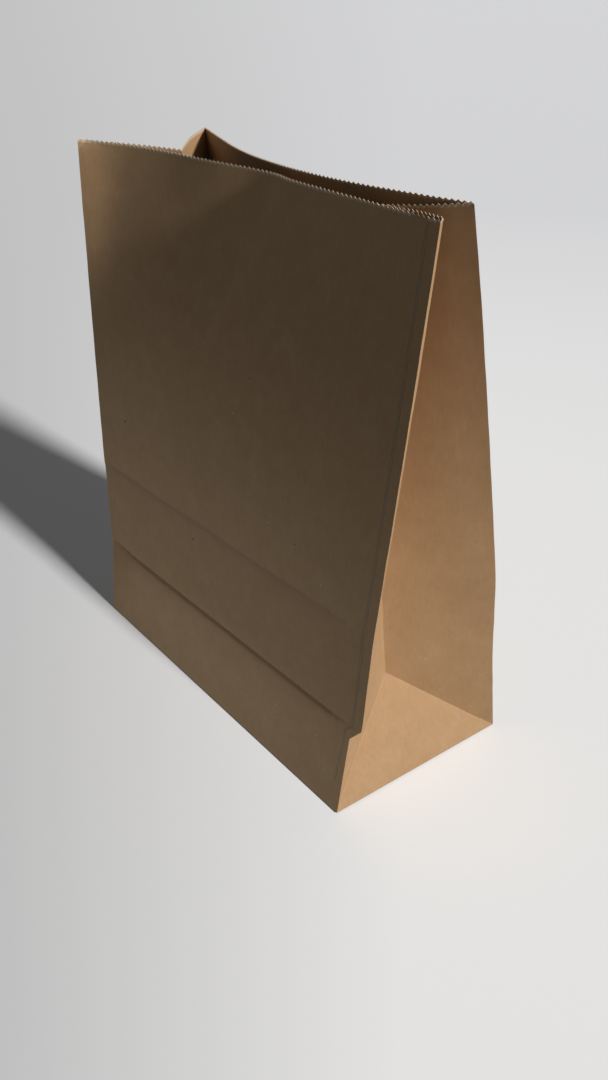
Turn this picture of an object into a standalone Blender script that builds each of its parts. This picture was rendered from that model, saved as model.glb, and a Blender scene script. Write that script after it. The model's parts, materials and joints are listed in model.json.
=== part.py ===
"""A brown kraft grocery bag with a block bottom and gusseted sides, standing open.

One sheet of paper: a tube of four panels, creased at the sides, folded and glued shut below.
The flat tube is scored and cut first, then each of its points is folded to its place.
Along the sheet, u runs round the bag from the front panel's left edge and v runs up from the base.
The front looks along -Y, the base lies on z = 0 and its middle is the origin. Units are metres.
"""

import bmesh
import bpy
from math import exp, log, pi, sin, sqrt
from mathutils import Vector

# The sheet
PANEL_WIDTH = 0.320
GUSSET_WIDTH = 0.150
BAG_HEIGHT = 0.396
PAPER = 0.00015

# The saw-cut mouth
TOOTH_PITCH = 0.00375
TOOTH_DEPTH = 0.0013
MOUTH_BAND = 0.006

# The glued side seam, on the front panel next to its right-hand fold
SEAM_INSET = 0.0085
SEAM_LAP = 0.0130

# The glued bottom
FLAP_OVERLAP = 0.024
FOLD_MARGIN = 0.0012

# How the bag stands: how far each gusset is tucked in at its fold, how wide the mouth gapes,
# how far the whole bag leans to the right, and how far its front right-hand knee is pressed down,
# which pushes in the fold below it
TUCK_LEFT = 0.0231
TUCK_RIGHT = 0.0436
MOUTH_GAP_LEFT = 0.1043
MOUTH_GAP_RIGHT = 0.0246
MOUTH_SHIFT_LEFT = -0.0120
MOUTH_SHIFT_RIGHT = -0.0018
SCORE_SWAY = 0.0129
MOUTH_SWAY = 0.0111
KNEE_SINK = 0.0053
KNEE_PINCH = 0.0085
PINCH_WIDTH = 0.0300

# The soft forms of the paper
SCORE_BOW_LEFT = 0.0033
SCORE_BOW_RIGHT = 0.0080
FRONT_HOLLOW = 0.0180
FRONT_HOLLOW_AT = 0.33
BACK_HOLLOW = 0.0310
BACK_HOLLOW_AT = 0.52
GUSSET_BELLY = 0.0030
SPRUNG_WIDTH = 0.0035
SPRUNG_HEIGHT = 0.0052
CREASE_RIDGE = 0.0016
CREASE_REACH = 0.0120
SCORE_RIDGE = 0.0014
SCORE_REACH = 0.0080
SCORE_FADE = 0.6
STRIP_HOLLOW_LEFT = 0.0042
STRIP_HOLLOW_RIGHT = 0.0056
STRIP_HOLLOW_AT = 0.72
RIDGE_SQUARENESS = 12

# How finely the sheet is divided
TEETH_A_COLUMN = 5
BODY_ROWS = 12
EDGE_STEPS = 60
NEAR_ROW = 1 / 3

# What follows from them
HALF_GUSSET = GUSSET_WIDTH / 2
FOLD_HEIGHT = HALF_GUSSET
SCORE_HEIGHT = GUSSET_WIDTH
FLAP_LENGTH = HALF_GUSSET + FLAP_OVERLAP / 2
RIGHT_GUSSET = PANEL_WIDTH
BACK_PANEL = RIGHT_GUSSET + GUSSET_WIDTH
LEFT_GUSSET = BACK_PANEL + PANEL_WIDTH
SHEET_WIDTH = LEFT_GUSSET + GUSSET_WIDTH
PANEL_COLUMNS = max(2, round(PANEL_WIDTH / (TEETH_A_COLUMN * TOOTH_PITCH)))
HALF_COLUMNS = max(2, round(HALF_GUSSET / (TEETH_A_COLUMN * TOOTH_PITCH)))
SEAM_EDGE = PANEL_WIDTH - SEAM_INSET
LAP_EDGE = SEAM_EDGE - SEAM_LAP
CUT_SLOPE = PAPER / 2
BASE_THICKNESS = 4 * PAPER
WELD = 1e-6

KRAFT_COLOUR = (0.42, 0.25, 0.12, 1)
KRAFT_ROUGHNESS = 0.85


def mix(start, end, share):
    return start + (end - start) * share


def hump(share, peak):
    """A smooth rise from 0 to 1 and back, highest at the given share of the width."""
    return sin(pi * max(share, 0) ** (log(0.5) / log(peak)))


def share_between(value, low, high):
    return min(max((value - low) / (high - low), 0), 1)


def strip_lean(tuck):
    """How far in a panel leans at the fold when the gusset's end triangle is tucked in."""
    triangle_cos = sqrt(1 - (tuck / HALF_GUSSET) ** 2)
    half_tan = (1 - triangle_cos) / (1 + triangle_cos)
    return FOLD_HEIGHT * 2 * half_tan / (1 + half_tan**2)


def gap(v, tuck, mouth_gap):
    """The distance from front panel to back panel along one side of the bag."""
    fold_gap = GUSSET_WIDTH - 2 * strip_lean(tuck)
    if v < FOLD_HEIGHT:
        return mix(GUSSET_WIDTH, fold_gap, v / FOLD_HEIGHT)
    return mix(fold_gap, mouth_gap, share_between(v, FOLD_HEIGHT, BAG_HEIGHT))


def score_bow(v, bow):
    """The front panel stands upright between its two creases, so it bows out at the upper one."""
    if v < SCORE_HEIGHT:
        return bow * share_between(v, FOLD_HEIGHT, SCORE_HEIGHT)
    return bow * (1 - share_between(v, SCORE_HEIGHT, BAG_HEIGHT))


def side_depths(v, tuck, mouth_gap, shift, bow):
    """The Y of the front and back folds of one side."""
    middle = shift * share_between(v, FOLD_HEIGHT, BAG_HEIGHT)
    half = gap(v, tuck, mouth_gap) / 2
    return middle - half - score_bow(v, bow), middle + half


def left_depths(v):
    return side_depths(v, TUCK_LEFT, MOUTH_GAP_LEFT, MOUTH_SHIFT_LEFT, SCORE_BOW_LEFT)


def right_depths(v):
    return side_depths(v, TUCK_RIGHT, MOUTH_GAP_RIGHT, MOUTH_SHIFT_RIGHT, SCORE_BOW_RIGHT)


def sway(v):
    if v < SCORE_HEIGHT:
        return SCORE_SWAY * v / SCORE_HEIGHT
    return mix(SCORE_SWAY, MOUTH_SWAY, share_between(v, SCORE_HEIGHT, BAG_HEIGHT))


def hollow_depth(v, hollow):
    """A panel is straight at its base and hollow at the mouth."""
    return hollow * share_between(v, FOLD_HEIGHT, BAG_HEIGHT) ** 2


def panel_ends(v, left_y, right_y, hollow):
    """Both ends of a panel in plan: its paper keeps its width, so what curves draws them in."""
    width = PANEL_WIDTH - (pi * hollow_depth(v, hollow)) ** 2 / (4 * PANEL_WIDTH)
    half = sqrt(width**2 - (right_y - left_y) ** 2) / 2
    return Vector((sway(v) - half, left_y)), Vector((sway(v) + half, right_y))


def fold_plan(v):
    """The four corner folds and the two gusset creases in plan at one height of the sheet."""
    front_left_y, back_left_y = left_depths(v)
    front_right_y, back_right_y = right_depths(v)
    front_left, front_right = panel_ends(v, front_left_y, front_right_y, FRONT_HOLLOW)
    back_left, back_right = panel_ends(v, back_left_y, back_right_y, BACK_HOLLOW)
    return {
        "front_left": front_left,
        "front_right": front_right,
        "back_left": back_left,
        "back_right": back_right,
        "left_crease": gusset_crease(front_left, back_left, 1),
        "right_crease": gusset_crease(front_right, back_right, -1),
    }


def gusset_crease(front, back, inward):
    """Both halves of a gusset keep their width, so its crease goes in as its folds close up."""
    across = back - front
    depth = sqrt(max(HALF_GUSSET**2 - (across.length / 2) ** 2, 0))
    normal = Vector((across.y, -across.x)).normalized() * inward
    return (front + back) / 2 + normal * depth


class FoldLine:
    """A fold followed up the sheet, rising so that the paper along it keeps its length."""

    def __init__(self, name, start_v, start_z, sink=0):
        self.start = start_v
        self.step = (BAG_HEIGHT - start_v) / EDGE_STEPS
        self.plan = [fold_plan(start_v + i * self.step)[name] for i in range(EDGE_STEPS + 1)]
        self.heights = [start_z]
        for i, (low, high) in enumerate(zip(self.plan, self.plan[1:])):
            rise = sqrt(self.step**2 - (high - low).length_squared)
            if i * self.step < FOLD_HEIGHT:
                rise -= sink * self.step / FOLD_HEIGHT
            self.heights.append(self.heights[-1] + rise)

    def at(self, v):
        place = max(v - self.start, 0) / self.step
        i = min(int(place), EDGE_STEPS - 1)
        x, y = mix(self.plan[i], self.plan[i + 1], place - i)
        return Vector((x, y, mix(self.heights[i], self.heights[i + 1], place - i)))


def crease_start(tuck):
    """The height of the point where a gusset's crease meets the fold above the base."""
    return sqrt(HALF_GUSSET**2 - tuck**2)


FRONT_LEFT = FoldLine("front_left", 0, 0)
FRONT_RIGHT = FoldLine("front_right", 0, 0, KNEE_SINK)
BACK_LEFT = FoldLine("back_left", 0, 0)
BACK_RIGHT = FoldLine("back_right", 0, 0)
LEFT_CREASE = FoldLine("left_crease", FOLD_HEIGHT, crease_start(TUCK_LEFT))
RIGHT_CREASE = FoldLine("right_crease", FOLD_HEIGHT, crease_start(TUCK_RIGHT))


def inward_of(left, right):
    """The level direction square to a panel, for a panel seen from outside."""
    return Vector((left.y - right.y, right.x - left.x, 0)).normalized()


def front_depth(share, v):
    """How far in from the line between its folds the front panel lies."""
    middle = 1 - abs(2 * share - 1) ** RIDGE_SQUARENESS
    depth = hollow_depth(v, FRONT_HOLLOW) * hump(share, FRONT_HOLLOW_AT)
    depth -= middle * CREASE_RIDGE * exp(-abs(v - FOLD_HEIGHT) / CREASE_REACH)
    faint = middle * (1 - SCORE_FADE * sin(pi * share))
    depth -= faint * SCORE_RIDGE * exp(-abs(v - SCORE_HEIGHT) / SCORE_REACH)
    strip_hollow = middle * mix(STRIP_HOLLOW_LEFT, STRIP_HOLLOW_RIGHT, share)
    return depth + strip_hollow * hump(share_between(v, 0, FOLD_HEIGHT), STRIP_HOLLOW_AT)


def front_point(u, v):
    left, right = FRONT_LEFT.at(v), FRONT_RIGHT.at(v)
    share = u / PANEL_WIDTH
    clear = share_between(v, 0, FOLD_HEIGHT / HALF_COLUMNS)
    return mix(left, right, share) + inward_of(left, right) * front_depth(share, v) * clear


def back_point(u, v):
    left, right = BACK_LEFT.at(v), BACK_RIGHT.at(v)
    share = 1 - (u - BACK_PANEL) / PANEL_WIDTH
    depth = hollow_depth(v, BACK_HOLLOW) * hump(share, BACK_HOLLOW_AT)
    return mix(left, right, share) - inward_of(left, right) * depth


def gusset_point(first, crease, last, u, v):
    """A point of a gusset between its first and last corner fold, u from the first one."""
    from_crease = abs(u - HALF_GUSSET)
    corner = first if u < HALF_GUSSET else last
    if v >= FOLD_HEIGHT:
        share = from_crease / HALF_GUSSET
        inner, outer = crease.at(v), corner.at(v)
        away = (outer - inner).cross(last.at(v) - first.at(v)).cross(outer - inner).normalized()
        belly = GUSSET_BELLY * share_between(v, FOLD_HEIGHT, BAG_HEIGHT) * sin(pi * share)
        side = 1 if u < HALF_GUSSET else -1
        return mix(inner, outer, share) + away * belly * side
    foot, peak = corner.at(0), crease.at(FOLD_HEIGHT)
    from_corner = HALF_GUSSET - from_crease
    if from_corner < v:
        return corner.at(v - from_corner) + (peak - foot) * from_corner / HALF_GUSSET
    base = mix(first.at(0), last.at(0), u / GUSSET_WIDTH)
    base_middle = mix(first.at(0), last.at(0), 0.5)
    return base + (peak - base_middle) * v / FOLD_HEIGHT


def pinch(u, v):
    """How far the sheet is pushed in where the front right-hand knee hangs over its fold."""
    push = share_between(v, 0, FOLD_HEIGHT - CREASE_REACH)
    push *= share_between(FOLD_HEIGHT - v, 0, CREASE_REACH)
    push *= exp(-(((u - RIGHT_GUSSET) / PINCH_WIDTH) ** 2))
    return Vector((-KNEE_PINCH * push, 0, 0))


def sprung(u, v):
    """The front right-hand fold springs open: its gusset stands off the panel before it goes in."""
    from_fold = (u - RIGHT_GUSSET) / SPRUNG_WIDTH
    back = share_between(HALF_GUSSET + RIGHT_GUSSET - u, 0, HALF_GUSSET - SPRUNG_WIDTH)
    height = SPRUNG_HEIGHT * share_between(v, FOLD_HEIGHT, BAG_HEIGHT)
    return inward_of(FRONT_LEFT.at(v), FRONT_RIGHT.at(v)) * height * min(from_fold, back)


def folded(u, v):
    """Where a point of the flat sheet lies on the standing bag."""
    if u <= PANEL_WIDTH:
        return front_point(u, v) + pinch(u, v)
    if u < BACK_PANEL:
        right = gusset_point(FRONT_RIGHT, RIGHT_CREASE, BACK_RIGHT, u - RIGHT_GUSSET, v)
        return right + pinch(u, v) + sprung(u, v)
    if u <= LEFT_GUSSET:
        return back_point(u, v)
    return gusset_point(BACK_LEFT, LEFT_CREASE, FRONT_LEFT, u - LEFT_GUSSET, v)


def score(sheet, faces, point, across):
    """Divide some faces along the line through a point."""
    geometry = set(faces)
    for face in faces:
        geometry.update(face.edges, face.verts)
    plane = {"plane_co": point, "plane_no": across, "dist": WELD}
    bmesh.ops.bisect_plane(sheet, geom=list(geometry), **plane)


def faces_between(sheet, low_u, high_u, low_v=0, high_v=BAG_HEIGHT):
    def inside(face):
        centre = face.calc_center_median()
        return low_u < centre.x < high_u and low_v < centre.y < high_v

    return [face for face in sheet.faces if inside(face)]


def flat_sheet():
    """The tube laid out flat, divided along its folds and into columns and rows."""
    sheet = bmesh.new()
    corners = ((0, 0), (SHEET_WIDTH, 0), (SHEET_WIDTH, BAG_HEIGHT), (0, BAG_HEIGHT))
    sheet.faces.new([sheet.verts.new((u, v, 0)) for u, v in corners])
    for start, width, columns in (
        (0, PANEL_WIDTH, PANEL_COLUMNS),
        (RIGHT_GUSSET, GUSSET_WIDTH, 2 * HALF_COLUMNS),
        (BACK_PANEL, PANEL_WIDTH, PANEL_COLUMNS),
        (LEFT_GUSSET, GUSSET_WIDTH, 2 * HALF_COLUMNS),
    ):
        for i in range(columns):
            score(sheet, sheet.faces[:], (start + width * i / columns, 0, 0), (1, 0, 0))
    body_top = BAG_HEIGHT - MOUTH_BAND
    rows = [FOLD_HEIGHT * i / HALF_COLUMNS for i in range(1, 2 * HALF_COLUMNS + 1)]
    rows += [mix(SCORE_HEIGHT, body_top, i / BODY_ROWS) for i in range(1, BODY_ROWS + 1)]
    for v in rows:
        score(sheet, sheet.faces[:], (0, v, 0), (0, 1, 0))
    return sheet


def cut_mouth(sheet):
    """The saw-toothed cut of the mouth, a whole number of teeth in each column."""
    def on_top(vert):
        return vert.co.y > BAG_HEIGHT - WELD

    top = [edge for edge in sheet.edges if all(map(on_top, edge.verts))]
    corners = {vert for edge in top for vert in edge.verts}
    bmesh.ops.subdivide_edges(sheet, edges=top, cuts=2 * TEETH_A_COLUMN - 1)
    cut = sorted(filter(on_top, sheet.verts), key=lambda vert: vert.co.x)
    since_corner = 0
    for vert in cut:
        since_corner = 0 if vert in corners else since_corner + 1
        if since_corner % 2:
            vert.co.y -= TOOTH_DEPTH


def score_folds(sheet):
    """The gussets' diagonals, finer rows by the creases, the sprung fold and the two seam edges."""
    for start in (RIGHT_GUSSET, LEFT_GUSSET):
        lower = faces_between(sheet, start, start + HALF_GUSSET, 0, FOLD_HEIGHT)
        score(sheet, lower, (start, 0, 0), (1, -1, 0))
        lower = faces_between(sheet, start + HALF_GUSSET, start + GUSSET_WIDTH, 0, FOLD_HEIGHT)
        score(sheet, lower, (start + GUSSET_WIDTH, 0, 0), (1, 1, 0))
    for crease, reach in ((FOLD_HEIGHT, CREASE_REACH), (SCORE_HEIGHT, SCORE_REACH)):
        near = reach * NEAR_ROW
        for offset in (-reach, -near, near, reach):
            front = faces_between(sheet, 0, PANEL_WIDTH)
            beside = faces_between(sheet, SHEET_WIDTH - HALF_GUSSET / HALF_COLUMNS, SHEET_WIDTH)
            score(sheet, front + beside, (0, crease + offset, 0), (0, 1, 0))
    beside = faces_between(sheet, RIGHT_GUSSET, RIGHT_GUSSET + HALF_GUSSET, FOLD_HEIGHT)
    score(sheet, beside, (RIGHT_GUSSET + SPRUNG_WIDTH, 0, 0), (1, 0, 0))
    for edge in (LAP_EDGE, SEAM_EDGE):
        for u in (edge, edge + CUT_SLOPE):
            score(sheet, faces_between(sheet, 0, PANEL_WIDTH), (u, 0, 0), (1, 0, 0))


def outer_lift(u, v):
    """The front panel lies on its glue lap, one paper's thickness further out."""
    if u > SEAM_EDGE + WELD:
        return 0
    return PAPER * u / SEAM_EDGE * share_between(v, 0, FOLD_HEIGHT / HALF_COLUMNS)


def inner_depth(u, v):
    """The lap under the front panel ends one paper's thickness inside it."""
    return PAPER - outer_lift(u, v) if u <= LAP_EDGE + WELD else PAPER


def fold_up(sheet):
    """Fold the flat sheet into the tube, with an inner skin at the paper's thickness."""
    lifts = {}
    depths = {}
    for vert in sheet.verts:
        u, v = vert.co.x, vert.co.y
        lifts[vert] = outer_lift(u, v)
        depths[vert] = inner_depth(u, v)
        vert.co = folded(u, v)
    bmesh.ops.remove_doubles(sheet, verts=sheet.verts[:], dist=WELD)
    bmesh.ops.recalc_face_normals(sheet, faces=sheet.faces[:])
    sheet.normal_update()
    outer = [vert for vert in lifts if vert.is_valid]
    ways = {vert: vert.normal * vert.calc_shell_factor() for vert in outer}
    copy = bmesh.ops.duplicate(sheet, geom=sheet.verts[:] + sheet.edges[:] + sheet.faces[:])
    twin = copy["vert_map"]
    inner_faces = [item for item in copy["geom"] if isinstance(item, bmesh.types.BMFace)]
    for vert in outer:
        twin[vert].co = vert.co - ways[vert] * depths[vert]
        vert.co = vert.co + ways[vert] * lifts[vert]
    bmesh.ops.reverse_faces(sheet, faces=inner_faces)
    return outer, twin, inner_faces


def close_mouth(sheet, outer, twin):
    """The cut edge of the paper, between the outer and the inner skin."""
    outside = set(outer)
    rim = [edge for edge in sheet.edges if edge.is_boundary and edge.verts[0] in outside]
    rim = [edge for edge in rim if edge.verts[0].co.z > SCORE_HEIGHT]
    for edge in rim:
        loop = edge.link_loops[0]
        first, second = loop.vert, loop.link_loop_next.vert
        sheet.faces.new((second, first, twin[first], twin[second]))


def fill_ring(sheet, height):
    """A flat face over the open edge that lies at one height."""
    def level(edge):
        return edge.is_boundary and all(abs(vert.co.z - height) < WELD for vert in edge.verts)

    ring = [edge for edge in sheet.edges if level(edge)]
    return bmesh.ops.contextual_create(sheet, geom=ring)["faces"]


def raised(sheet, faces, height):
    """Move some faces straight up or down and wall them in; gives the moved faces."""
    moved = bmesh.ops.extrude_face_region(sheet, geom=faces)["geom"]
    verts = [item for item in moved if isinstance(item, bmesh.types.BMVert)]
    bmesh.ops.translate(sheet, verts=verts, vec=(0, 0, height))
    old = [face for face in faces if face.is_valid]
    bmesh.ops.delete(sheet, geom=old, context="FACES")
    return [item for item in moved if isinstance(item, bmesh.types.BMFace)]


def flat_faces(sheet, height, inside):
    """The level faces at one height whose middle is in the wanted part of the base."""
    def wanted(face):
        level = all(abs(vert.co.z - height) < WELD for vert in face.verts)
        return level and inside(*face.calc_center_median().xy)

    return [face for face in sheet.faces if wanted(face)]


def divide_base(sheet, height, lines):
    """Divide the level faces at one height along some lines, each a point and a direction across."""
    for point, across in lines:
        faces = flat_faces(sheet, height, lambda x, y: True)
        score(sheet, faces, (*point, height), (*across, 0))


def glue_underside(sheet):
    """The flaps from below: the front one laps over the back one, and both over the ends."""
    half_width, half_depth = PANEL_WIDTH / 2, GUSSET_WIDTH / 2
    cut_edge = FLAP_OVERLAP / 2

    def in_front_ends(x, y):
        return half_width - abs(x) > half_depth + y

    def in_back_ends(x, y):
        return half_width - abs(x) > half_depth - y

    def on_end(x, y):
        clear = abs(x) < half_width - FOLD_MARGIN
        return clear and not in_front_ends(x, y) and not in_back_ends(x, y)

    def on_back_flap(x, y):
        clear = abs(y) < half_depth - FOLD_MARGIN
        covered = in_front_ends(x, y) and y < cut_edge
        return clear and not covered and (in_front_ends(x, y) or in_back_ends(x, y))

    lines = [((0, cut_edge), (0, 1)), ((0, half_depth - FOLD_MARGIN), (0, 1))]
    for side in (-1, 1):
        lines.append(((side * (half_width - FOLD_MARGIN), 0), (1, 0)))
        for end in (-1, 1):
            lines.append(((side * half_width, end * half_depth), (side, -end)))
    divide_base(sheet, 0, lines)
    under = flat_faces(sheet, 0, lambda x, y: on_end(x, y) or on_back_flap(x, y))
    raised(sheet, under, PAPER)
    raised(sheet, flat_faces(sheet, PAPER, on_end), 2 * PAPER)


def glue_floor(sheet):
    """The flaps from inside: the gussets' ends on top, and the lap of the two long flaps."""
    end = PANEL_WIDTH / 2 - FLAP_LENGTH
    side = GUSSET_WIDTH / 2 - 2 * FOLD_MARGIN
    lines = [((x, 0), (1, 0)) for x in (-end, end)]
    lines += [((0, y), (0, 1)) for y in (-side, side)]
    divide_base(sheet, BASE_THICKNESS, lines)

    def between_ends(x, y):
        return abs(x) < end and abs(y) < side

    back_flap = BASE_THICKNESS - 2 * PAPER
    raised(sheet, flat_faces(sheet, BASE_THICKNESS, between_ends), -2 * PAPER)
    divide_base(sheet, back_flap, [((0, -FLAP_OVERLAP / 2), (0, 1))])
    front = flat_faces(sheet, back_flap, lambda x, y: y < -FLAP_OVERLAP / 2)
    raised(sheet, front, -PAPER)


def kraft_paper():
    material = bpy.data.materials.new("kraft_paper")
    material.use_nodes = True
    shader = material.node_tree.nodes["Principled BSDF"]
    shader.inputs["Base Color"].default_value = KRAFT_COLOUR
    shader.inputs["Roughness"].default_value = KRAFT_ROUGHNESS
    shader.inputs["Metallic"].default_value = 0
    material.diffuse_color = KRAFT_COLOUR
    return material


def paper_bag():
    sheet = flat_sheet()
    cut_mouth(sheet)
    score_folds(sheet)
    bmesh.ops.triangulate(sheet, faces=sheet.faces[:])
    outer, twin, inner_faces = fold_up(sheet)
    close_mouth(sheet, outer, twin)
    fill_ring(sheet, 0)
    inner = {item for face in inner_faces for item in (face, *face.edges, *face.verts)}
    cut = {"plane_co": (0, 0, BASE_THICKNESS), "plane_no": (0, 0, 1), "dist": WELD}
    bmesh.ops.bisect_plane(sheet, geom=list(inner), clear_inner=True, **cut)
    fill_ring(sheet, BASE_THICKNESS)
    glue_underside(sheet)
    glue_floor(sheet)
    bmesh.ops.triangulate(sheet, faces=sheet.faces[:])
    bmesh.ops.recalc_face_normals(sheet, faces=sheet.faces[:])
    mesh = bpy.data.meshes.new("paper_bag")
    sheet.to_mesh(mesh)
    sheet.free()
    mesh.materials.append(kraft_paper())
    bag = bpy.data.objects.new("paper_bag", mesh)
    bpy.context.collection.objects.link(bag)
    return bag


def main():
    for old in list(bpy.data.objects):
        bpy.data.objects.remove(old, do_unlink=True)
    paper_bag()


main()
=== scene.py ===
"""A brown kraft grocery bag: its folded paper, its finish, and a pale studio around it."""

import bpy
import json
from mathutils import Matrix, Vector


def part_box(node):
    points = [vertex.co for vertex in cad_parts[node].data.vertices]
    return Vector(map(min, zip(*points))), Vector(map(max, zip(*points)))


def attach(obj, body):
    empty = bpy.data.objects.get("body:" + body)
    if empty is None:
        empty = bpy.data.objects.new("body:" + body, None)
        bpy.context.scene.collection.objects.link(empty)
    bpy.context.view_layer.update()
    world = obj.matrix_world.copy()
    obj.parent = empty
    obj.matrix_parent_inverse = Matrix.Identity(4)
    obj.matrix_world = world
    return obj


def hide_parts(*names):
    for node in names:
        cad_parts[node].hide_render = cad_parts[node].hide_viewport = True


bl_info = {
    "name": "Paper Bag",
    "version": (1, 0, 0),
    "blender": (4, 5, 0),
    "location": "View3D > Sidebar > Paper Bag",
    "description": "Finishes a folded kraft paper bag and sets the studio that it stands in",
    "category": "Object",
}

import bmesh
import bpy
import json
from math import cos, exp, pi, radians, sin
from mathutils import Matrix, Vector, noise
from mathutils.kdtree import KDTree

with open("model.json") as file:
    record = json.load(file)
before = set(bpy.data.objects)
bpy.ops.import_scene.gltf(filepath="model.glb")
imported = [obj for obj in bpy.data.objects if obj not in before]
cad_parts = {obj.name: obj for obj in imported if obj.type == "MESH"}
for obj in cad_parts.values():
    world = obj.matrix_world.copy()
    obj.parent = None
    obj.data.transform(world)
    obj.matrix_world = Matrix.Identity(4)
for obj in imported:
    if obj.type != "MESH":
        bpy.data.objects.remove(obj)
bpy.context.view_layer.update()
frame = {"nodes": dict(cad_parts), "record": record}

NODE = "paper_bag"
PIECE = "kraft_bag"
SLOT = "kraft_paper"
PAPER_COLOUR = next(m["base_color"] for m in frame["record"]["materials"] if m["slot"] == SLOT)
BAG_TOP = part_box(NODE)[1].z

# The mesh's own small distances, in metres
WELD = 1e-6  # points closer than this are one
CUT_LENGTH = 0.00005  # an edge shorter than this lies across the paper's thickness
STEP_HEIGHT = 0.0008  # edges no higher than this are the glued base's own steps
FAR = 0.05  # distances to folds and cuts are told up to this
SAMPLE_STEP = 0.001  # from one search point along an edge to the next
MOUTH_REACH = 0.035  # how far below the bag's top the mouth's cut comes

# How far a cut's thin faces look up at the mouth, and sideways at the seam
MOUTH_UPWARD = 0.3
SEAM_SIDEWAYS = 0.6
SHARP_ANGLE = radians(15)  # edges that bend more than this are shaded sharp
NOISE_SEED = 1  # gives the swells and crinkles the same form on each run

# The box round the outer step of the glued seam, beside the front panel's right-hand fold
SEAM_LOW = (0.1450, -0.080, 0.002)
SEAM_HIGH = (0.1655, -0.010, 0.3825)

# The front panel's soft valley, from the mouth down to its end, as (x, z) on the panel
VALLEY_TOP = Vector((0.026, 0.400))
VALLEY_END = Vector((-0.034, 0.275))
VALLEY_FADE = (-0.02, 0.05)  # from its end upwards, where it begins and where it is at its full depth
RIGHT_FLANK = 0.50  # the reach of its right-hand flank, as a share of the left-hand one's
BETWEEN_PANELS = -0.0145

# The front panel's two cross creases: height in the middle, and how much lower each metre to the right
STRONG_CREASE = (0.0714, 0.021)
FAINT_CREASE = (0.1458, 0.022)
FRONT_SIDE = -0.045
ABOVE_CREASES = 0.2
CREASED_HALF = 0.160
CREASE_END = 0.03  # how much of that half the creases take to die out
UNDERCUT_ONSET = 0.45  # how soon below a crease the panel is pushed in, as a share of the reach
FAINT_REACH = 0.6  # the faint crease's reach, as a share of the strong one's

# The paper's grain: detail of its noise, and the longer threads' size and stretch against the fibres
CLOUD_DETAIL, FIBRE_DETAIL, THREAD_DETAIL = 3, 4, 2
NOISE_ROUGHNESS = 0.6
THREAD_SIZE = 3
THREAD_STRETCH = (1, 1, 0.25)

# What clouds, fibres and threads do to the paper's tone and to its height
CLOUD_TONE, FIBRE_TONE, THREAD_TONE = 0.30, 0.40, 0.20
CLOUD_RISE, FIBRE_RISE, THREAD_RISE = 1.2, 0.6, 0.6
MIDDLE_TONE, DARK_TONE, PALE_TONE = 0.5, 0.2, 0.9
ROUGHNESS_BY_FIBRE = 0.16

# Specks: spacing against the bark's, share of the cells that hold one, size in cells, strength
BARK_FLECKS = (1, 0.55, 0.030, 0.85)
FINE_FLECKS = (0.27, 0.30, 0.055, 0.40)
PALE_FLECKS = (0.5, 0.30, 0.035, 0.55)
FLECK_RIM = 1.3  # a speck fades out between its size and this many times it

# Lines along seam, folds and cut: where each ends and where it is full, in widths of it, and its strength
# The seam's two lines are painted light: a painted shade and a painted highlight beside its step, which is
# too thin to show them itself
SEAM_SHADE = (1, 0.7, 0.45)
SEAM_GLEAM = (0.4, 0.25, 0.35)
# The cut line is bare fibres, painted paler as a highlight on the mouth's lit rim
CUT_LINE = (1, 0.4, 0.8)
FOLD_LINE = (2, 0)
LEAST_WEAR, WEAR_BY_FIBRE = 0.22, 0.8

# The floor, in metres; its darker left side, painted shade where the lamps' light falls off, fans out from a
# point before the bag, as the camera sees it
FLOOR_RADIUS = 40
FLOOR_SIDES = 96
# Painted light: the floor is painted dimmer away from the bag, as the lamps' light falls off
FAR_TONE = (0.45, 1.8)  # from the bag's middle, where the tone begins to change and where it has changed
FAN_START = 0.96  # how far before the bag that point is
FAN_LEAST = 0.3  # the least distance from it that a slant is worked out with
FAN_FADE = (0, 0.5)  # the distances from it over which the left side grows darker
LEFT_SHADE = (0.10, -0.25)  # the slants to the right where the left side begins and where it is darkest
FRAME_SIDE = 36  # the frame's long side, in millimetres

SEEING_RAYS = ("Is Camera Ray", "Is Glossy Ray", "Is Transmission Ray")
SURFACE = "Principled BSDF"


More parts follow.
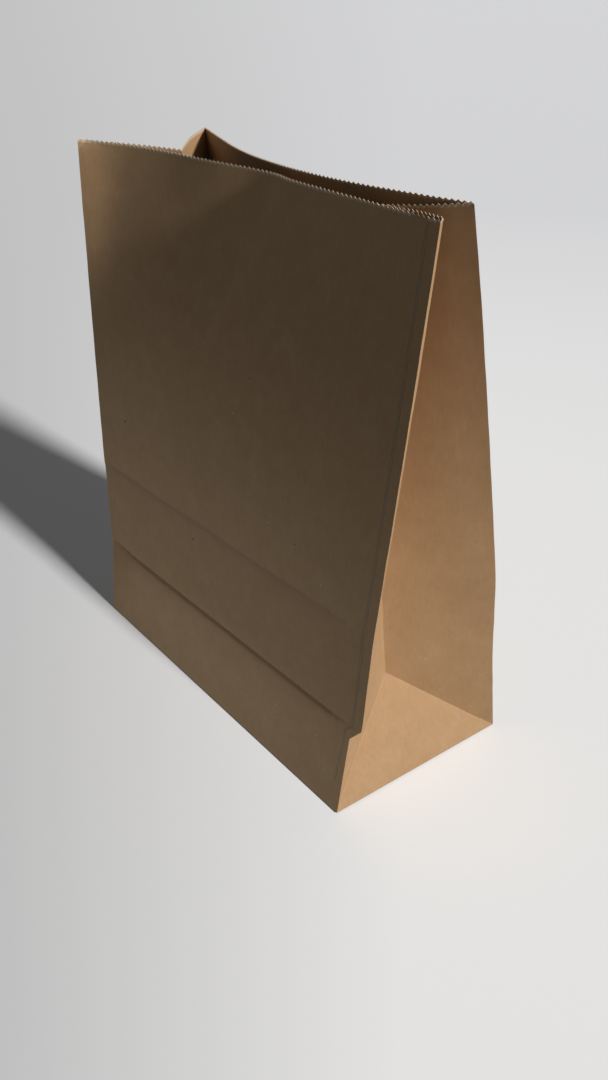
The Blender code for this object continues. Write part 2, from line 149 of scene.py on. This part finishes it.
class PaperForm(bpy.types.PropertyGroup):
    """How the paper bends, folds and wears."""

    fold_angle: bpy.props.FloatProperty(
        name="Fold Angle", description="Edges that bend more than this are folds of the paper",
        default=radians(13), subtype="ANGLE", unit="ROTATION",
    )
    crisp_angle: bpy.props.FloatProperty(
        name="Crisp Angle", description="Folds that bend more than this are quite sharp",
        default=radians(24), subtype="ANGLE", unit="ROTATION",
    )
    quad_angle: bpy.props.FloatProperty(
        name="Quad Angle", description="Pairs of triangles that bend less than this are joined",
        default=radians(9), subtype="ANGLE", unit="ROTATION",
    )
    fineness: bpy.props.IntProperty(
        name="Fineness", description="How many times the sheet is subdivided", default=2, min=0, max=3,
    )
    warp_height: bpy.props.FloatProperty(
        name="Warp Height", description="How far the panels stray from their even form",
        default=0.0016, subtype="DISTANCE", unit="LENGTH",
    )
    warp_length: bpy.props.FloatProperty(
        name="Warp Length", description="The distance from one swell of a panel to the next",
        default=0.080, subtype="DISTANCE", unit="LENGTH",
    )
    warp_margin: bpy.props.FloatProperty(
        name="Warp Margin", description="How far from a fold the swells are at their full size",
        default=0.035, subtype="DISTANCE", unit="LENGTH",
    )
    crinkle_height: bpy.props.FloatProperty(
        name="Crinkle Height", description="How far the paper is crushed beside its folds",
        default=0.0002, subtype="DISTANCE", unit="LENGTH",
    )
    crinkle_length: bpy.props.FloatProperty(
        name="Crinkle Length", description="The distance from one crinkle to the next",
        default=0.014, subtype="DISTANCE", unit="LENGTH",
    )
    crinkle_reach: bpy.props.FloatProperty(
        name="Crinkle Reach", description="How far from a fold the crinkles die out",
        default=0.010, subtype="DISTANCE", unit="LENGTH",
    )
    flat_foot: bpy.props.FloatProperty(
        name="Flat Foot", description="The height above the base at which the warp begins to grow",
        default=0.004, subtype="DISTANCE", unit="LENGTH",
    )
    free_height: bpy.props.FloatProperty(
        name="Free Height", description="The height at which the warp is at its full size",
        default=0.060, subtype="DISTANCE", unit="LENGTH",
    )
    valley_depth: bpy.props.FloatProperty(
        name="Valley Depth", description="How deep the soft valley below the front panel's mouth is",
        default=0.0048, subtype="DISTANCE", unit="LENGTH",
    )
    valley_width: bpy.props.FloatProperty(
        name="Valley Width", description="How far the valley's left-hand flank reaches",
        default=0.034, subtype="DISTANCE", unit="LENGTH",
    )
    strong_undercut: bpy.props.FloatProperty(
        name="Strong Undercut", description="How far the front panel is pushed in below its strong crease",
        default=0.0105, subtype="DISTANCE", unit="LENGTH",
    )
    faint_undercut: bpy.props.FloatProperty(
        name="Faint Undercut", description="How far the front panel is pushed in below its faint crease",
        default=0.0040, subtype="DISTANCE", unit="LENGTH",
    )
    undercut_reach: bpy.props.FloatProperty(
        name="Undercut Reach", description="How far below a crease the panel comes out again",
        default=0.034, subtype="DISTANCE", unit="LENGTH",
    )
    foot_round: bpy.props.FloatProperty(
        name="Foot Rounding", description="How far in from its edge the base is curled up",
        default=0.004, subtype="DISTANCE", unit="LENGTH",
    )
    foot_lift: bpy.props.FloatProperty(
        name="Foot Lift", description="How far the base's edge is off the floor",
        default=0.0011, subtype="DISTANCE", unit="LENGTH",
    )
    fray: bpy.props.FloatProperty(
        name="Fray", description="How far the fibres of the cut edge stand off on each side",
        default=0.00012, subtype="DISTANCE", unit="LENGTH",
    )


class KraftFinish(bpy.types.PropertyGroup):
    """The colours and the grain of the kraft paper."""

    paper: bpy.props.FloatVectorProperty(
        name="Paper", description="Colour of the plain paper", subtype="COLOR", size=3,
        default=PAPER_COLOUR, min=0, max=1,
    )
    dark: bpy.props.FloatVectorProperty(
        name="Dark Fibre", description="Colour of the darkest clouds and fibres", subtype="COLOR", size=3,
        default=(0.33, 0.185, 0.082), min=0, max=1,
    )
    pale: bpy.props.FloatVectorProperty(
        name="Pale Fibre", description="Colour of pale fibres and worn folds", subtype="COLOR", size=3,
        default=(0.54, 0.36, 0.20), min=0, max=1,
    )
    # Also the colour of painted highlights: the pale line on the mouth's lit rim and the one beside the
    # seam's step
    cut_fibre_and_highlight: bpy.props.FloatVectorProperty(
        name="Cut Fibre", description="Colour of the bare fibres along the cut edges", subtype="COLOR",
        size=3, default=(0.72, 0.55, 0.37), min=0, max=1,
    )
    # Also the colour of the painted shade beside the glued seam's step
    fleck_and_seam_shade: bpy.props.FloatVectorProperty(
        name="Fleck", description="Colour of the specks of bark", subtype="COLOR", size=3,
        default=(0.07, 0.035, 0.018), min=0, max=1,
    )
    cloud_size: bpy.props.FloatProperty(
        name="Cloud Size", description="Size of the paler and darker clouds in the sheet",
        default=0.016, subtype="DISTANCE", unit="LENGTH",
    )
    fibre_size: bpy.props.FloatProperty(
        name="Fibre Size", description="Size of the fine grain",
        default=0.0008, subtype="DISTANCE", unit="LENGTH",
    )
    fleck_spacing: bpy.props.FloatProperty(
        name="Fleck Spacing", description="The distance from one speck of bark to the next",
        default=0.030, subtype="DISTANCE", unit="LENGTH",
    )
    fold_wear: bpy.props.FloatProperty(
        name="Fold Wear", description="Half the width of the pale line along a fold",
        default=0.0005, subtype="DISTANCE", unit="LENGTH",
    )
    # Painted shade: the paper is painted darker beside the glued seam's step
    seam_width: bpy.props.FloatProperty(
        name="Seam Width", description="How far from the glued seam's edge the paper is darker",
        default=0.0011, subtype="DISTANCE", unit="LENGTH",
    )
    # The pale line along the mouth is partly bare fibres and partly a painted highlight on its lit rim
    cut_width: bpy.props.FloatProperty(
        name="Cut Width", description="Width of the pale line along the mouth",
        default=0.0015, subtype="DISTANCE", unit="LENGTH",
    )
    roughness: bpy.props.FloatProperty(
        name="Roughness", description="Roughness of the uncoated paper", subtype="FACTOR",
        default=0.82, min=0, max=1,
    )
    grain_height: bpy.props.FloatProperty(
        name="Grain Height", description="How deep the grain of the paper is",
        default=0.00003, subtype="DISTANCE", unit="LENGTH",
    )


class Studio(bpy.types.PropertyGroup):
    """The floor, the lamps and the camera."""

    # The floor's colours are painted light: paler beside the bag, dimmer far off and darkest on the left,
    # away from the lamps
    floor_near: bpy.props.FloatVectorProperty(
        name="Near Floor", description="Colour of the floor beside the bag", subtype="COLOR", size=3,
        default=(0.75, 0.745, 0.735), min=0, max=1,
    )
    floor_far: bpy.props.FloatVectorProperty(
        name="Far Floor", description="Colour of the floor and the backdrop far away", subtype="COLOR",
        size=3, default=(0.62, 0.62, 0.63), min=0, max=1,
    )
    floor_left_shade: bpy.props.FloatVectorProperty(
        name="Left Floor", description="Colour of the floor on the side away from the lamps", subtype="COLOR",
        size=3, default=(0.49, 0.49, 0.49), min=0, max=1,
    )
    # Painted light: a faint glow that only the camera sees, which lifts the floor and the bag's shadow on it
    shadow_tone: bpy.props.FloatVectorProperty(
        name="Shadow Tone", description="What the room's haze adds to the floor and its shadow",
        subtype="COLOR", size=3, default=(0.040, 0.036, 0.032), min=0, max=1,
    )
    floor_bounce: bpy.props.FloatVectorProperty(
        name="Floor Bounce", description="Colour of the light that the floor throws back on the bag",
        subtype="COLOR", size=3, default=(0.06, 0.070, 0.086), min=0, max=1,
    )
    room_colour: bpy.props.FloatVectorProperty(
        name="Room", description="Colour of the light from all around", subtype="COLOR", size=3,
        default=(0.76, 0.88, 1.0), min=0, max=1,
    )
    room_light: bpy.props.FloatProperty(
        name="Room Light", description="Strength of the light from all around", default=0.085, min=0,
    )
    key_light: bpy.props.FloatProperty(
        name="Key Light", description="Strength of the lamp on the right", default=3.38, min=0,
    )
    floor_light: bpy.props.FloatProperty(
        name="Floor Light", description="Strength of the lamp that lights the floor alone",
        default=5.9, min=0,
    )
    fill_light: bpy.props.FloatProperty(
        name="Fill Light", description="Power of the soft lamp in front of the bag", default=0.33, min=0,
    )
    fill_place: bpy.props.FloatVectorProperty(
        name="Fill Place", description="Where the soft lamp in front of the bag is", size=3,
        default=(-0.05, -0.55, 0.95), subtype="TRANSLATION", unit="LENGTH",
    )
    fill_aim: bpy.props.FloatVectorProperty(
        name="Fill Aim", description="What the soft lamp in front of the bag looks at", size=3,
        default=(-0.05, -0.20, 0.0), subtype="TRANSLATION", unit="LENGTH",
    )
    fill_size: bpy.props.FloatVectorProperty(
        name="Fill Size", description="Width and height of the soft lamp in front of the bag", size=2,
        default=(0.60, 0.10), subtype="XYZ", unit="LENGTH",
    )
    fill_spread: bpy.props.FloatProperty(
        name="Fill Spread", description="How widely the soft lamp in front of the bag shines",
        default=radians(34), subtype="ANGLE", unit="ROTATION",
    )
    key_softness: bpy.props.FloatProperty(
        name="Key Softness", description="How wide the lamps look from the bag",
        default=radians(6), subtype="ANGLE", unit="ROTATION",
    )
    key_heading: bpy.props.FloatProperty(
        name="Key Heading", description="Where the key is, round from the bag's right-hand side to its back",
        default=radians(13), subtype="ANGLE", unit="ROTATION",
    )
    shadow_heading: bpy.props.FloatProperty(
        name="Shadow Heading", description="The same for the lamp that lights the floor and casts the shadow",
        default=radians(3), subtype="ANGLE", unit="ROTATION",
    )
    key_height: bpy.props.FloatProperty(
        name="Key Height", description="How high the key is above the floor's plane",
        default=radians(22), subtype="ANGLE", unit="ROTATION",
    )
    shadow_height: bpy.props.FloatProperty(
        name="Shadow Height", description="The same for the lamp that lights the floor and casts the shadow",
        default=radians(28), subtype="ANGLE", unit="ROTATION",
    )
    camera_place: bpy.props.FloatVectorProperty(
        name="Camera Place", description="Where the photographer's lens was", size=3,
        default=(0.5520, -0.3891, 0.4995), subtype="TRANSLATION", unit="LENGTH",
    )
    camera_heading: bpy.props.FloatProperty(
        name="Camera Heading", description="Turn of the camera to the left, from looking along the depth",
        default=radians(53.49), subtype="ANGLE", unit="ROTATION",
    )
    camera_pitch: bpy.props.FloatProperty(
        name="Camera Pitch", description="How far the camera looks down",
        default=radians(29.67), subtype="ANGLE", unit="ROTATION",
    )
    camera_roll: bpy.props.FloatProperty(
        name="Camera Roll", description="How far the camera is tipped about its own line of sight",
        default=radians(-0.90), subtype="ANGLE", unit="ROTATION",
    )
    camera_lens: bpy.props.FloatProperty(
        name="Lens", description="Focal length for a frame 36 mm on its long side",
        default=33.73, subtype="DISTANCE_CAMERA", unit="CAMERA",
    )


class Socket:
    """A socket of a node tree that Python's operators work on."""

    def __init__(self, tree, socket):
        self.tree = tree
        self.socket = socket

    def __add__(self, other):
        return self.tree.maths("ADD", self, other)

    def __sub__(self, other):
        return self.tree.maths("SUBTRACT", self, other)

    def __rsub__(self, other):
        return self.tree.maths("SUBTRACT", other, self)

    def __mul__(self, other):
        return self.tree.maths("MULTIPLY", self, other)

    def __lt__(self, other):
        return self.tree.maths("LESS_THAN", self, other)

    __radd__ = __add__
    __rmul__ = __mul__

    def between(self, start, end):
        """0 at the start value and 1 at the end one, straight in between and level beyond."""
        return self.tree.maths("MULTIPLY_ADD", self, 1 / (end - start), start / (start - end), clamp=True)


class Tree:
    """The node tree of a material or a world, with one method that adds any node."""

    def __init__(self, owner):
        owner.use_nodes = True
        self.nodes = owner.node_tree.nodes
        self.links = owner.node_tree.links

    def put(self, socket, value):
        if isinstance(value, Socket):
            self.links.new(value.socket, socket)
        elif socket.type == "RGBA" and len(value) == 3:
            socket.default_value = (*value, 1)
        else:
            socket.default_value = value

    def node(self, kind, values=(), output=0, **settings):
        """Adds a node; values are its inputs in order, or by name, and settings its properties."""
        node = self.nodes.new(kind)
        for name, setting in settings.items():
            setattr(node, name, setting)
        pairs = values.items() if isinstance(values, dict) else enumerate(values)
        for name, value in pairs:
            self.put(node.inputs[name], value)
        return Socket(self, node.outputs[output])

    def maths(self, operation, *values, clamp=False):
        return self.node("ShaderNodeMath", values, operation=operation, use_clamp=clamp)

    def blend(self, share, first, second):
        """Between two colours."""
        mix = self.nodes.new("ShaderNodeMix")
        mix.data_type = "RGBA"
        colours = [socket for socket in mix.inputs if socket.type == "RGBA"]
        self.put(mix.inputs["Factor"], share)
        self.put(colours[0], first)
        self.put(colours[1], second)
        return Socket(self, next(socket for socket in mix.outputs if socket.type == "RGBA"))

    def seen(self):
        """1 where the camera looks, directly or in a reflection, and 0 for the light between things."""
        straight, mirrored, through = (self.node("ShaderNodeLightPath", output=ray) for ray in SEEING_RAYS)
        return self.maths("ADD", straight + mirrored, through, clamp=True)

    def finish(self, shader, **values):
        for name, value in values.items():
            self.put(self.nodes[shader].inputs[name.replace("_", " ")], value)


def merged_sheet():
    """The bag's own form, with its triangles joined to the panels' rows and columns."""
    form = bpy.context.scene.paper_form
    sheet = bmesh.new()
    sheet.from_mesh(frame["nodes"][NODE].data)
    bmesh.ops.remove_doubles(sheet, verts=sheet.verts[:], dist=WELD)
    bmesh.ops.join_triangles(
        sheet, faces=sheet.faces[:], angle_face_threshold=form.quad_angle, angle_shape_threshold=pi
    )
    return sheet


def smooth_step(value, low, high):
    share = min(max((value - low) / (high - low), 0), 1)
    return share * share * (3 - 2 * share)


def crease_folds(sheet):
    """Folds and cut edges stay crisp when the sheet is subdivided, and faint creases turn soft."""
    form = bpy.context.scene.paper_form
    crease = sheet.edges.layers.float.new("crease_edge")
    for edge in sheet.edges:
        edge[crease] = smooth_step(edge.calc_face_angle(0), form.fold_angle, form.crisp_angle)


def subdivided(sheet, name):
    """The sheet with its curves worked out between the folds."""
    mesh = bpy.data.meshes.new(name)
    sheet.to_mesh(mesh)
    sheet.free()
    coarse = bpy.data.objects.new(name, mesh)
    bpy.context.scene.collection.objects.link(coarse)
    curve = coarse.modifiers.new("Curves", "SUBSURF")
    curve.levels = curve.render_levels = bpy.context.scene.paper_form.fineness
    bpy.context.view_layer.update()
    fine = bpy.data.meshes.new_from_object(coarse.evaluated_get(bpy.context.evaluated_depsgraph_get()))
    bpy.data.objects.remove(coarse)
    bpy.data.meshes.remove(mesh)
    fine.name = name
    return fine


def line_tree(edges):
    """A search tree of points along some edges."""
    points = []
    for edge in edges:
        start, end = (vert.co for vert in edge.verts)
        steps = max(1, round((end - start).length / SAMPLE_STEP))
        points += [start.lerp(end, i / steps) for i in range(steps + 1)]
    tree = KDTree(len(points))
    for i, point in enumerate(points):
        tree.insert(point, i)
    tree.balance()
    return tree


def beside_seam(place):
    return all(low < value < high for low, value, high in zip(SEAM_LOW, place, SEAM_HIGH))


class FineSheet:
    """The subdivided sheet, its folds and its cut edges."""

    def __init__(self, mesh):
        self.mesh = mesh
        self.sheet = bmesh.new()
        self.sheet.from_mesh(mesh)
        self.sheet.normal_update()
        self.thin = {
            face for edge in self.sheet.edges if edge.calc_length() < CUT_LENGTH for face in edge.link_faces
        }

    def is_cut(self, edge):
        return any(face in self.thin for face in edge.link_faces)

    def mouth(self):
        """The edges round the thin faces of the mouth's cut, which look up and not sideways."""
        cut = [face for face in self.thin if face.normal.z > MOUTH_UPWARD]
        cut = [face for face in cut if face.calc_center_median().z > BAG_TOP - MOUTH_REACH]
        return {edge for face in cut for edge in face.edges}

    def seam(self):
        """The outer step of the glued side seam, beside the front panel's right-hand fold."""
        steps = [face for face in self.thin if face.normal.x > SEAM_SIDEWAYS]
        steps = [face for face in steps if beside_seam(face.calc_center_median())]
        return {edge for face in steps for edge in face.edges}

    def folds(self):
        """The edges that bend, apart from the cuts and the steps of the base."""
        angle = bpy.context.scene.paper_form.fold_angle

        def is_fold(edge):
            above_base = max(vert.co.z for vert in edge.verts) > STEP_HEIGHT
            return above_base and edge.calc_face_angle(0) > angle and not self.is_cut(edge)

        return [edge for edge in self.sheet.edges if is_fold(edge)]

    def measure(self, name, lines):
        """Each point's distance to the nearest of some lines, as an attribute."""
        layer = self.sheet.verts.layers.float.new(name)
        tree = line_tree(lines)
        for vert in self.sheet.verts:
            vert[layer] = min(tree.find(vert.co)[2], FAR)
        return layer

    def fray_mouth(self, lines):
        """The fibres along the mouth's cut stand off a little, so the edge looks thicker."""
        fray = bpy.context.scene.paper_form.fray
        for vert in {vert for edge in lines for vert in edge.verts}:
            skin = (face.normal for face in vert.link_faces if face not in self.thin)
            vert.co += sum(skin, Vector()).normalized() * fray

    def curl_foot(self):
        """The paper turns up to the walls in a small curve, so the base's edge is just off the floor."""
        form = bpy.context.scene.paper_form
        foot = [vert for vert in self.sheet.verts if vert.co.z < form.foot_round]
        half_width = max(abs(vert.co.x) for vert in foot)
        half_depth = max(abs(vert.co.y) for vert in foot)
        for vert in foot:
            inside = min(half_width - abs(vert.co.x), half_depth - abs(vert.co.y))
            near_edge = 1 - smooth_step(inside, 0, form.foot_round)
            vert.co.z += form.foot_lift * near_edge * (1 - vert.co.z / form.foot_round)

    def valley(self, place):
        """How far the front panel is pushed in beside a slanting line below its mouth."""
        form = bpy.context.scene.paper_form
        if place.y > BETWEEN_PANELS:
            return 0
        line = (VALLEY_TOP - VALLEY_END).normalized()
        at = Vector((place.x, place.z)) - VALLEY_END
        along = at.dot(line)
        across = at.x * line.y - at.y * line.x
        reach = form.valley_width if across < 0 else form.valley_width * RIGHT_FLANK
        return form.valley_depth * smooth_step(along, *VALLEY_FADE) * exp(-((across / reach) ** 2))

    def undercut(self, place):
        """How far the front panel is pushed in below its cross creases."""
        form = bpy.context.scene.paper_form
        if place.y > FRONT_SIDE or place.z > ABOVE_CREASES:
            return 0
        push = 0
        for (middle, fall), depth, reach in (
            (STRONG_CREASE, form.strong_undercut, form.undercut_reach),
            (FAINT_CREASE, form.faint_undercut, form.undercut_reach * FAINT_REACH),
        ):
            below = middle - fall * place.x - place.z
            if below > 0:
                push += depth * (1 - exp(-below / (reach * UNDERCUT_ONSET))) * exp(-below / reach)
        return push * smooth_step(CREASED_HALF - abs(place.x), 0, CREASE_END)

    def warp(self, fold_distance):
        """Both skins of the paper stray together from their even form."""
        noise.seed_set(NOISE_SEED)
        form = bpy.context.scene.paper_form
        for vert in self.sheet.verts:
            place = vert.co.copy()
            free = smooth_step(place.z, form.flat_foot, form.free_height)
            from_fold = vert[fold_distance]
            swell = noise.noise_vector(place / form.warp_length) * smooth_step(from_fold, 0, form.warp_margin)
            crush = noise.noise_vector(place / form.crinkle_length) * exp(-from_fold / form.crinkle_reach)
            move = swell * form.warp_height + crush * form.crinkle_height
            vert.co += Vector((move.x, move.y + self.valley(place) + self.undercut(place), 0)) * free

    def done(self):
        self.sheet.to_mesh(self.mesh)
        self.sheet.free()


def kraft_paper():
    """Unbleached kraft: clouds, grain, flecks of bark, worn folds, and bare fibres where it was cut, painted
    paler as a highlight on the mouth's lit rim; beside the glued seam's step, a painted shade and a painted
    highlight.
    """
    look = bpy.context.scene.kraft_finish
    material = bpy.data.materials.new(SLOT)
    tree = Tree(material)
    place = tree.node("ShaderNodeTexCoord", output="Object")
    stretched = tree.node("ShaderNodeMapping", {"Vector": place, "Scale": THREAD_STRETCH})

    def grain(size, detail, at=place):
        """Noise to both sides of 0."""
        values = {"Vector": at, "Scale": 1 / size, "Detail": detail, "Roughness": NOISE_ROUGHNESS}
        return tree.node("ShaderNodeTexNoise", values) - 0.5

    clouds = grain(look.cloud_size, CLOUD_DETAIL)
    fibres = grain(look.fibre_size, FIBRE_DETAIL)
    threads = grain(look.fibre_size * THREAD_SIZE, THREAD_DETAIL, stretched)
    tone = MIDDLE_TONE + clouds * CLOUD_TONE + fibres * FIBRE_TONE + threads * THREAD_TONE
    colour = tree.blend(tone.between(MIDDLE_TONE, DARK_TONE), look.paper, look.dark)
    colour = tree.blend(tone.between(MIDDLE_TONE, PALE_TONE), colour, look.pale)

    def flecks(spacing, share, size):
        """Round specks, one in some of the cells of a cell pattern."""
        values = {"Vector": place, "Scale": 1 / spacing, "Randomness": 1.0}
        near = tree.node("ShaderNodeTexVoronoi", values, output="Distance")
        chance = tree.node("ShaderNodeTexVoronoi", values, output="Color")
        chance = tree.node("ShaderNodeSeparateColor", {"Color": chance}, output=0)
        return near.between(size * FLECK_RIM, size) * (chance < share)

    for (spacing, share, size, strength), tint in (
        (BARK_FLECKS, look.fleck_and_seam_shade),
        (FINE_FLECKS, look.fleck_and_seam_shade),
        (PALE_FLECKS, look.cut_fibre_and_highlight),
    ):
        specks = flecks(look.fleck_spacing * spacing, share, size)
        colour = tree.blend(specks * strength, colour, tint)

    wear = LEAST_WEAR + fibres * WEAR_BY_FIBRE
    for name, width, (end, full, strength), tint in (
        # The seam's shade and gleam are a painted shade and a painted highlight beside its step
        ("seam_distance", look.seam_width, SEAM_SHADE, look.fleck_and_seam_shade),
        ("seam_distance", look.seam_width, SEAM_GLEAM, look.cut_fibre_and_highlight),
        ("fold_distance", look.fold_wear, (*FOLD_LINE, wear), look.pale),
        # Partly bare fibres, partly a painted highlight on the mouth's lit rim
        ("cut_distance", look.cut_width, CUT_LINE, look.cut_fibre_and_highlight),
    ):
        distance = tree.node("ShaderNodeAttribute", output="Fac", attribute_name=name)
        line = distance.between(width * end, width * full)
        colour = tree.blend(line * strength, colour, tint)

    height = fibres * FIBRE_RISE + threads * THREAD_RISE + clouds * CLOUD_RISE
    bump = tree.node("ShaderNodeBump", {"Height": height, "Distance": look.grain_height, "Strength": 1.0})
    roughness = look.roughness + fibres * ROUGHNESS_BY_FIBRE
    tree.finish(SURFACE, Base_Color=colour, Roughness=roughness, Normal=bump)
    return material


class OBJECT_OT_paper_bag(bpy.types.Operator):
    """Make the bag's paper from the plain solid's folded form, crush it a little at its folds and finish it
    as kraft
    """

    bl_idname = "object.paper_bag"
    bl_label = "Paper Bag"

    def execute(self, context):
        sheet = merged_sheet()
        crease_folds(sheet)
        mesh = subdivided(sheet, PIECE)
        fine = FineSheet(mesh)
        mouth = fine.mouth()
        fine.measure("cut_distance", mouth)
        fine.measure("seam_distance", fine.seam())
        fold_distance = fine.measure("fold_distance", fine.folds())
        fine.warp(fold_distance)
        fine.curl_foot()
        fine.fray_mouth(mouth)
        fine.done()
        mesh.shade_smooth()
        mesh.set_sharp_from_angle(angle=SHARP_ANGLE)
        mesh.materials.clear()
        mesh.materials.append(kraft_paper())
        bag = bpy.data.objects.new(PIECE, mesh)
        context.scene.collection.objects.link(bag)
        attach(bag, "root")
        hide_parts(NODE)
        return {"FINISHED"}


class OBJECT_OT_studio(bpy.types.Operator):
    """Set the pale floor, the lamps and the camera"""

    bl_idname = "object.studio"
    bl_label = "Studio"

    def execute(self, context):
        look = context.scene.studio
        floor = pale_floor(look)
        bag = context.scene.objects[PIECE]
        room_light(context.scene, look)
        soft = look.key_softness
        key = far_lamp(context.scene, "key", look.key_light, soft, look.key_heading, look.key_height)
        beside = far_lamp(
            context.scene, "floor_lamp", look.floor_light, soft, look.shadow_heading, look.shadow_height
        )
        light_only(bag, key)
        light_only(bag, fill_lamp(context.scene, look))
        light_only(floor, beside)
        camera(context.scene, look)
        context.scene.view_settings.view_transform = "Standard"
        return {"FINISHED"}


def pale_floor(look):
    """One wide level sheet, painted brighter beside the bag and darker far off and on its left as the lamps'
    light falls off, that throws little of its light back.
    """
    sheet = bmesh.new()
    bmesh.ops.create_circle(sheet, cap_ends=True, segments=FLOOR_SIDES, radius=FLOOR_RADIUS)
    mesh = bpy.data.meshes.new("floor")
    sheet.to_mesh(mesh)
    sheet.free()
    material = bpy.data.materials.new("floor")
    tree = Tree(material)
    place = tree.node("ShaderNodeTexCoord", output="Object")

    def length_along(x, y):
        return tree.node("ShaderNodeVectorMath", (place, (x, y, 0)), output="Value", operation="DOT_PRODUCT")

    away = length_along(-sin(look.camera_heading), cos(look.camera_heading)) + FAN_START
    across = length_along(cos(look.camera_heading), sin(look.camera_heading))
    spread = tree.node("ShaderNodeVectorMath", (place,), output="Value", operation="LENGTH")
    # Painted light: paler beside the bag, dimmer far off, and darker on the left where the lamps' light falls
    # off
    tone = tree.blend(spread.between(*FAR_TONE), look.floor_near, look.floor_far)
    slant = tree.maths("DIVIDE", across, tree.maths("MAXIMUM", away, FAN_LEAST))
    tone = tree.blend(slant.between(*LEFT_SHADE) * away.between(*FAN_FADE), tone, look.floor_left_shade)
    seen = tree.seen()
    # Painted light: the floor glows faintly for the camera, which lifts its shadow
    glow = tree.blend(seen, (0, 0, 0), look.shadow_tone)
    colour = tree.blend(seen, look.floor_bounce, tone)
    tree.finish(SURFACE, Base_Color=colour, Emission_Color=glow, Emission_Strength=1.0, Roughness=0.9)
    mesh.materials.append(material)
    floor = bpy.data.objects.new("floor", mesh)
    bpy.context.scene.collection.objects.link(floor)
    return floor


def room_light(scene, look):
    """Weak light from all around, and a pale backdrop where the camera looks past the floor."""
    world = bpy.data.worlds.new("room")
    scene.world = world
    tree = Tree(world)
    seen = tree.seen()
    strength = look.room_light + seen * (1 - look.room_light)
    tree.finish("Background", Color=tree.blend(seen, look.room_colour, look.floor_far), Strength=strength)


def lamp(scene, light, place, back):
    """Puts a lamp in its place, with its back turned to a direction."""
    holder = bpy.data.objects.new(light.name, light)
    holder.matrix_world = Matrix.Translation(place) @ back.to_track_quat("Z", "Y").to_matrix().to_4x4()
    scene.collection.objects.link(holder)
    return holder


def far_lamp(scene, name, strength, softness, heading, height):
    """A soft lamp far away on the right."""
    sun = bpy.data.lights.new(name, "SUN")
    sun.energy = strength
    sun.angle = softness
    way = Vector((cos(heading) * cos(height), sin(heading) * cos(height), sin(height)))
    return lamp(scene, sun, way, way)


def fill_lamp(scene, look):
    """A weak cool lamp in front of the bag that shines on its foot from above."""
    soft = bpy.data.lights.new("fill", "AREA")
    soft.shape = "RECTANGLE"
    soft.size, soft.size_y = look.fill_size
    soft.energy = look.fill_light
    soft.color = look.room_colour
    soft.spread = look.fill_spread
    place = Vector(look.fill_place)
    return lamp(scene, soft, place, place - Vector(look.fill_aim))


def light_only(thing, lamp_holder):
    """Links a lamp to the one thing that it lights; everything still casts its shadow."""
    only = bpy.data.collections.new(lamp_holder.name + "_lights")
    only.objects.link(thing)
    lamp_holder.light_linking.receiver_collection = only


def camera(scene, look):
    lens = bpy.data.cameras.new("camera")
    lens.lens = look.camera_lens
    lens.sensor_width = FRAME_SIDE
    lens.clip_start = 0.01
    eye = bpy.data.objects.new("camera", lens)
    turn = Matrix.Rotation(look.camera_heading, 4, "Z")
    tilt = Matrix.Rotation(pi / 2 - look.camera_pitch, 4, "X")
    roll = Matrix.Rotation(look.camera_roll, 4, "Z")
    eye.matrix_world = Matrix.Translation(look.camera_place) @ turn @ tilt @ roll
    scene.collection.objects.link(eye)
    scene.camera = eye


class VIEW3D_PT_paper_bag(bpy.types.Panel):
    """Sizes, colours and buttons of the bag and its studio"""

    bl_label = "Paper Bag"
    bl_idname = "VIEW3D_PT_paper_bag"
    bl_space_type = "VIEW_3D"
    bl_region_type = "UI"
    bl_category = "Paper Bag"

    def draw(self, context):
        for group, operator in (
            (context.scene.paper_form, OBJECT_OT_paper_bag.bl_idname),
            (context.scene.kraft_finish, OBJECT_OT_paper_bag.bl_idname),
            (context.scene.studio, OBJECT_OT_studio.bl_idname),
        ):
            box = self.layout.box()
            for name in group.__annotations__:
                box.prop(group, name)
            box.operator(operator)


GROUPS = {"paper_form": PaperForm, "kraft_finish": KraftFinish, "studio": Studio}
CLASSES = (*GROUPS.values(), OBJECT_OT_paper_bag, OBJECT_OT_studio, VIEW3D_PT_paper_bag)


def register():
    for item in CLASSES:
        bpy.utils.register_class(item)
    for name, group in GROUPS.items():
        setattr(bpy.types.Scene, name, bpy.props.PointerProperty(type=group))


def unregister():
    for name in GROUPS:
        delattr(bpy.types.Scene, name)
    for item in reversed(CLASSES):
        bpy.utils.unregister_class(item)


def main():
    register()
    bpy.ops.object.paper_bag()
    bpy.ops.object.studio()


if __name__ == "__main__":
    main()
